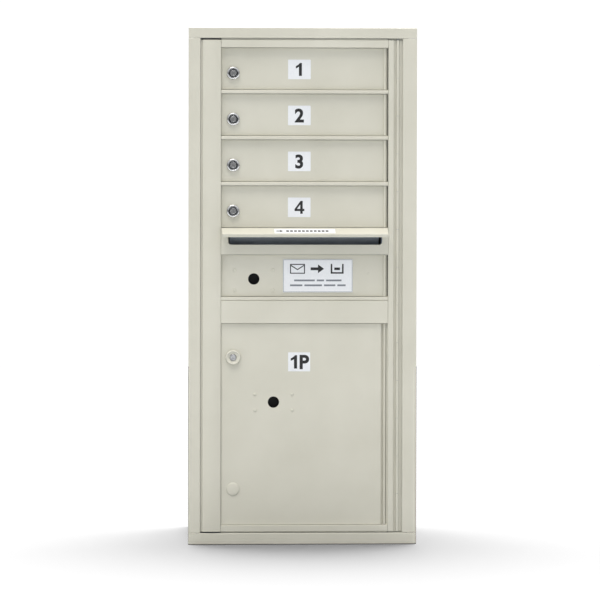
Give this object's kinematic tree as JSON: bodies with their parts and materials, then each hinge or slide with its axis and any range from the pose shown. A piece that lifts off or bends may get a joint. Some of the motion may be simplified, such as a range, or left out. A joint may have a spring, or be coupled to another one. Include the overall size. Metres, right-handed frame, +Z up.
{
  "type": "cluster mailbox unit",
  "caption": "Wall-recessed cluster mailbox: a framed master door carries tenant doors, a hooded mail slot with its carrier door and a parcel door.",
  "frame": {"origin": "middle of the wall opening's sill: on the cabinet's underside, in the plane of the finished wall, which the trim's rear face meets", "axes": "+X to the right seen from the front, +Y into the wall, +Z up; the doors face -Y"},
  "size_m": [0.442, 0.449, 1],
  "materials": {
    "postal_grey_coat": "satin powder coat on aluminium",
    "baffle_grey": "matt blue-grey primer on steel sheet",
    "mill_aluminium": "mill-finish aluminium sheet",
    "zinc_steel": "bright zinc-plated steel",
    "lock_chrome": "polished chrome plate",
    "black_plastic": "moulded, fine grain",
    "seal_rubber": "closed-cell strip",
    "label_white": "smooth white label face"
  },
  "bodies": {
    "cabinet": {"cabinet_left_side": "mill_aluminium", "cabinet_right_side": "mill_aluminium", "cabinet_top": "mill_aluminium", "cabinet_bottom": "mill_aluminium", "cabinet_back": "mill_aluminium", "shelf_1": "mill_aluminium", "shelf_2": "mill_aluminium", "shelf_3": "mill_aluminium", "shelf_4": "mill_aluminium", "shelf_5": "mill_aluminium", "latch_strike": "zinc_steel", "master_gasket": "seal_rubber", "trim_top": "postal_grey_coat", "trim_bottom": "postal_grey_coat", "trim_left": "postal_grey_coat", "trim_right": "postal_grey_coat", "master_hinge_fixed_leaf": "postal_grey_coat", "master_hinge_pin": "zinc_steel"},
    "master_door": {"master_left_stile": "postal_grey_coat", "master_right_stile": "postal_grey_coat", "master_top_rail": "postal_grey_coat", "master_bottom_rail": "postal_grey_coat", "slot_panel": "postal_grey_coat", "slot_hood": "postal_grey_coat", "slot_baffle": "baffle_grey", "spacer_panel": "postal_grey_coat", "divider_1": "postal_grey_coat", "divider_2": "postal_grey_coat", "divider_3": "postal_grey_coat", "divider_4": "postal_grey_coat", "master_hinge_door_leaf": "postal_grey_coat", "door_hinge_rod": "zinc_steel", "latch_guide": "zinc_steel"},
    "latch": {"latch_bar": "zinc_steel", "latch_handle": "zinc_steel"},
    "carrier_door": {"carrier_door": "postal_grey_coat", "carrier_lock_guard": "black_plastic", "carrier_label_plate": "label_white"},
    "parcel_door": {"parcel_door": "postal_grey_coat", "parcel_lock_guard": "black_plastic", "parcel_hole_cap": "postal_grey_coat", "parcel_door_lock_body": "lock_chrome"},
    "parcel_door_lock": {"parcel_door_lock_plug": "lock_chrome", "parcel_door_lock_cam": "zinc_steel"},
    "tenant_door_1": {"tenant_door_1": "postal_grey_coat", "tenant_door_1_lock_body": "lock_chrome"},
    "tenant_door_1_lock": {"tenant_door_1_lock_plug": "lock_chrome", "tenant_door_1_lock_cam": "zinc_steel"},
    "tenant_door_2": {"tenant_door_2": "postal_grey_coat", "tenant_door_2_lock_body": "lock_chrome"},
    "tenant_door_2_lock": {"tenant_door_2_lock_plug": "lock_chrome", "tenant_door_2_lock_cam": "zinc_steel"},
    "tenant_door_3": {"tenant_door_3": "postal_grey_coat", "tenant_door_3_lock_body": "lock_chrome"},
    "tenant_door_3_lock": {"tenant_door_3_lock_plug": "lock_chrome", "tenant_door_3_lock_cam": "zinc_steel"},
    "tenant_door_4": {"tenant_door_4": "postal_grey_coat", "tenant_door_4_lock_body": "lock_chrome"},
    "tenant_door_4_lock": {"tenant_door_4_lock_plug": "lock_chrome", "tenant_door_4_lock_cam": "zinc_steel"}
  },
  "joints": [
    {"name": "master_door_hinge", "type": "hinge", "parent": "cabinet", "child": "master_door", "pos_m": [0.184, -0.008, 0.48], "axis": [0, 0, 1], "range_deg": [0, 95]},
    {"name": "latch_slide", "type": "slide", "parent": "master_door", "child": "latch", "axis": [0, 0, 1], "range_m": [0, 0.011]},
    {"name": "carrier_door_hinge", "type": "hinge", "parent": "master_door", "child": "carrier_door", "pos_m": [0.1597, -0.0025, 0.50365], "axis": [0, 0, 1], "range_deg": [0, 95]},
    {"name": "parcel_door_hinge", "type": "hinge", "parent": "master_door", "child": "parcel_door", "pos_m": [0.1597, -0.0025, 0.215], "axis": [0, 0, 1], "range_deg": [0, 95]},
    {"name": "parcel_lock_turn", "type": "hinge", "parent": "parcel_door", "child": "parcel_door_lock", "pos_m": [-0.1347, -0.0065, 0.3455], "axis": [0, 1, 0], "range_deg": [0, 90]},
    {"name": "tenant_door_1_hinge", "type": "hinge", "parent": "master_door", "child": "tenant_door_1", "pos_m": [0.1597, -0.0025, 0.9037], "axis": [0, 0, 1], "range_deg": [0, 95]},
    {"name": "tenant_lock_1_turn", "type": "hinge", "parent": "tenant_door_1", "child": "tenant_door_1_lock", "pos_m": [-0.1347, -0.001, 0.8952], "axis": [0, 1, 0], "range_deg": [0, 90]},
    {"name": "tenant_door_2_hinge", "type": "hinge", "parent": "master_door", "child": "tenant_door_2", "pos_m": [0.1597, -0.0025, 0.8148], "axis": [0, 0, 1], "range_deg": [0, 95]},
    {"name": "tenant_lock_2_turn", "type": "hinge", "parent": "tenant_door_2", "child": "tenant_door_2_lock", "pos_m": [-0.1347, -0.001, 0.8063], "axis": [0, 1, 0], "range_deg": [0, 90]},
    {"name": "tenant_door_3_hinge", "type": "hinge", "parent": "master_door", "child": "tenant_door_3", "pos_m": [0.1597, -0.0025, 0.7259], "axis": [0, 0, 1], "range_deg": [0, 95]},
    {"name": "tenant_lock_3_turn", "type": "hinge", "parent": "tenant_door_3", "child": "tenant_door_3_lock", "pos_m": [-0.1347, -0.001, 0.7174], "axis": [0, 1, 0], "range_deg": [0, 90]},
    {"name": "tenant_door_4_hinge", "type": "hinge", "parent": "master_door", "child": "tenant_door_4", "pos_m": [0.1597, -0.0025, 0.637], "axis": [0, 0, 1], "range_deg": [0, 95]},
    {"name": "tenant_lock_4_turn", "type": "hinge", "parent": "tenant_door_4", "child": "tenant_door_4_lock", "pos_m": [-0.1347, -0.001, 0.6285], "axis": [0, 1, 0], "range_deg": [0, 90]}
  ]
}
